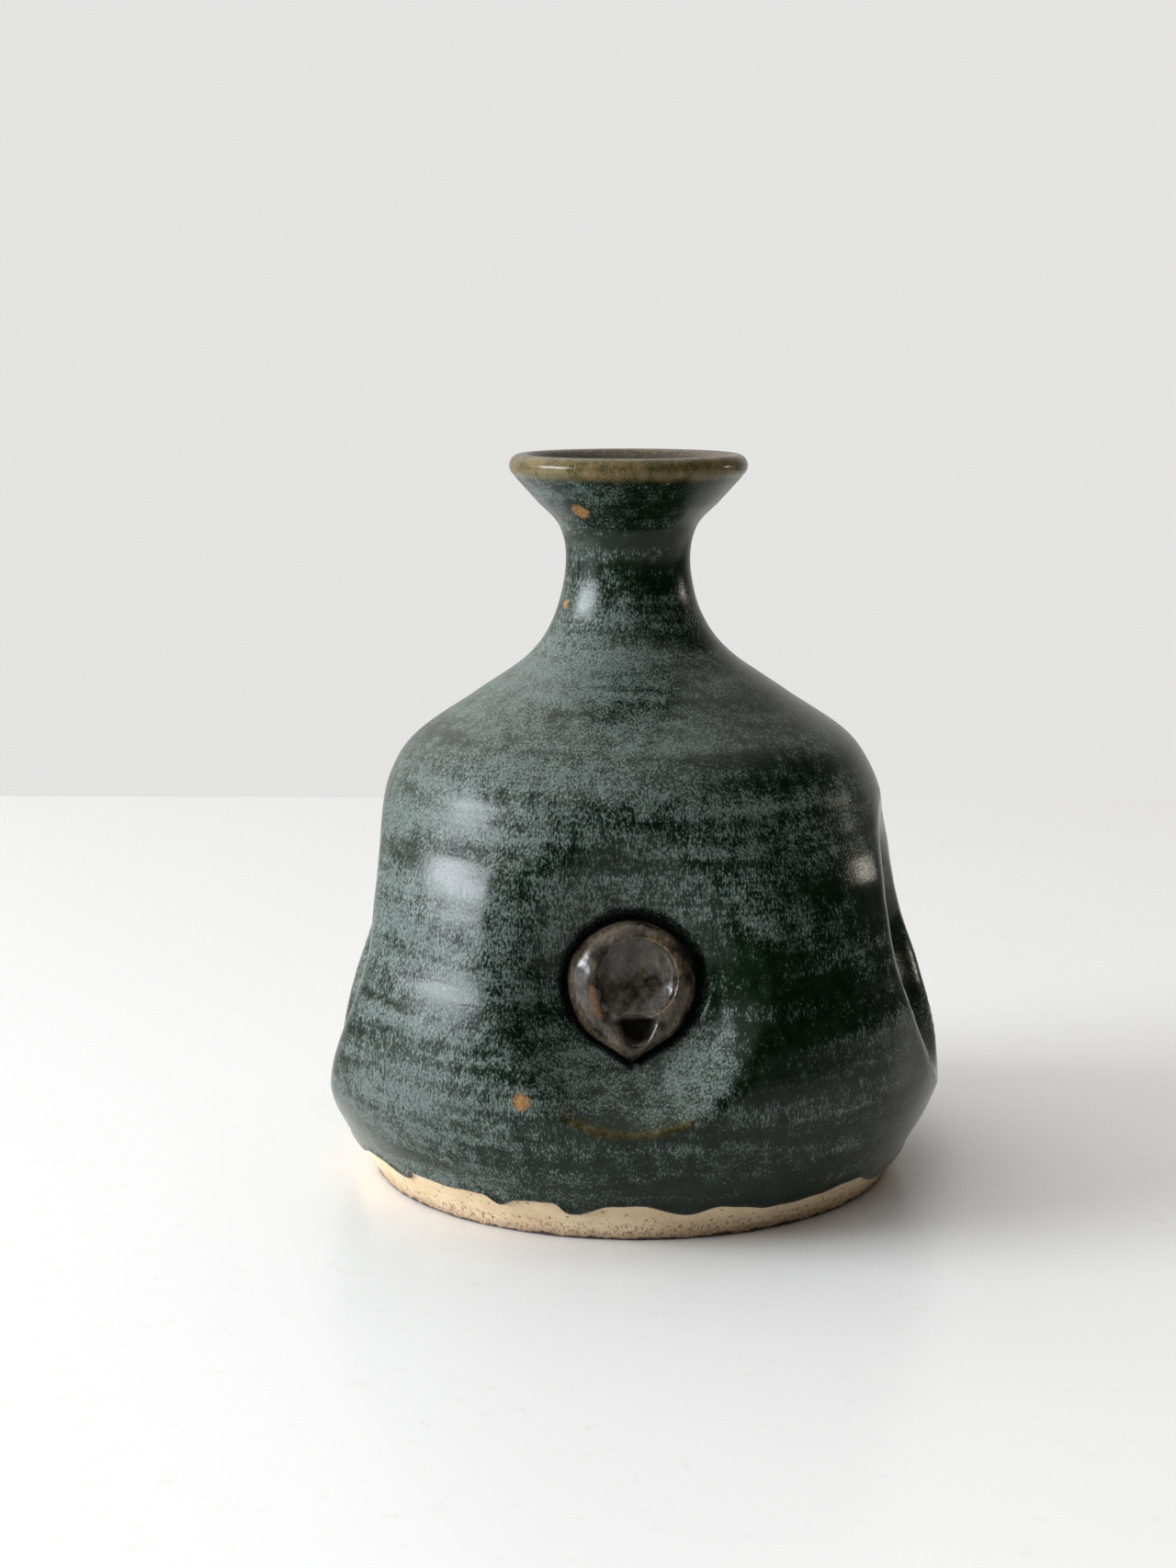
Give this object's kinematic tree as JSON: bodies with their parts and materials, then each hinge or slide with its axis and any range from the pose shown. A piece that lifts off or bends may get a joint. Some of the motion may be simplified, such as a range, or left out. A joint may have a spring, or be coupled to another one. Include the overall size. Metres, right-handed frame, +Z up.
{
  "type": "bud vase",
  "caption": "Wheel-thrown stoneware bud vase with a flared lip, narrow neck, bell-shaped dimpled body with pressed clay buttons, mottled green glaze and a bare foot.",
  "frame": {"origin": "middle of the foot, on the surface that the vase stands on", "axes": "+Z up along the neck's axis, -Y out of the front dimple, +X out of the right dimple"},
  "size_m": [0.1225, 0.1248, 0.14],
  "materials": {
    "stoneware": "bare fired buff stoneware, matt, iron-specked",
    "green_glaze": "glossy bottle-green glaze with dense pale blue-grey rutile mottling",
    "liner_glaze": "glossy dark brown-olive glaze inside the throat and chamber",
    "button_clay": "fired stoneware under the glaze",
    "button_glaze": "thin glossy grey-brown glaze that breaks to tan on the edges"
  },
  "bodies": {
    "root": {"stoneware_body": "stoneware", "outer_glaze": "green_glaze", "liner_glaze": "liner_glaze", "front_button": "button_clay", "right_button": "button_clay", "back_button": "button_clay", "left_button": "button_clay", "front_button_glaze": "button_glaze", "right_button_glaze": "button_glaze", "back_button_glaze": "button_glaze", "left_button_glaze": "button_glaze"}
  },
  "joints": []
}
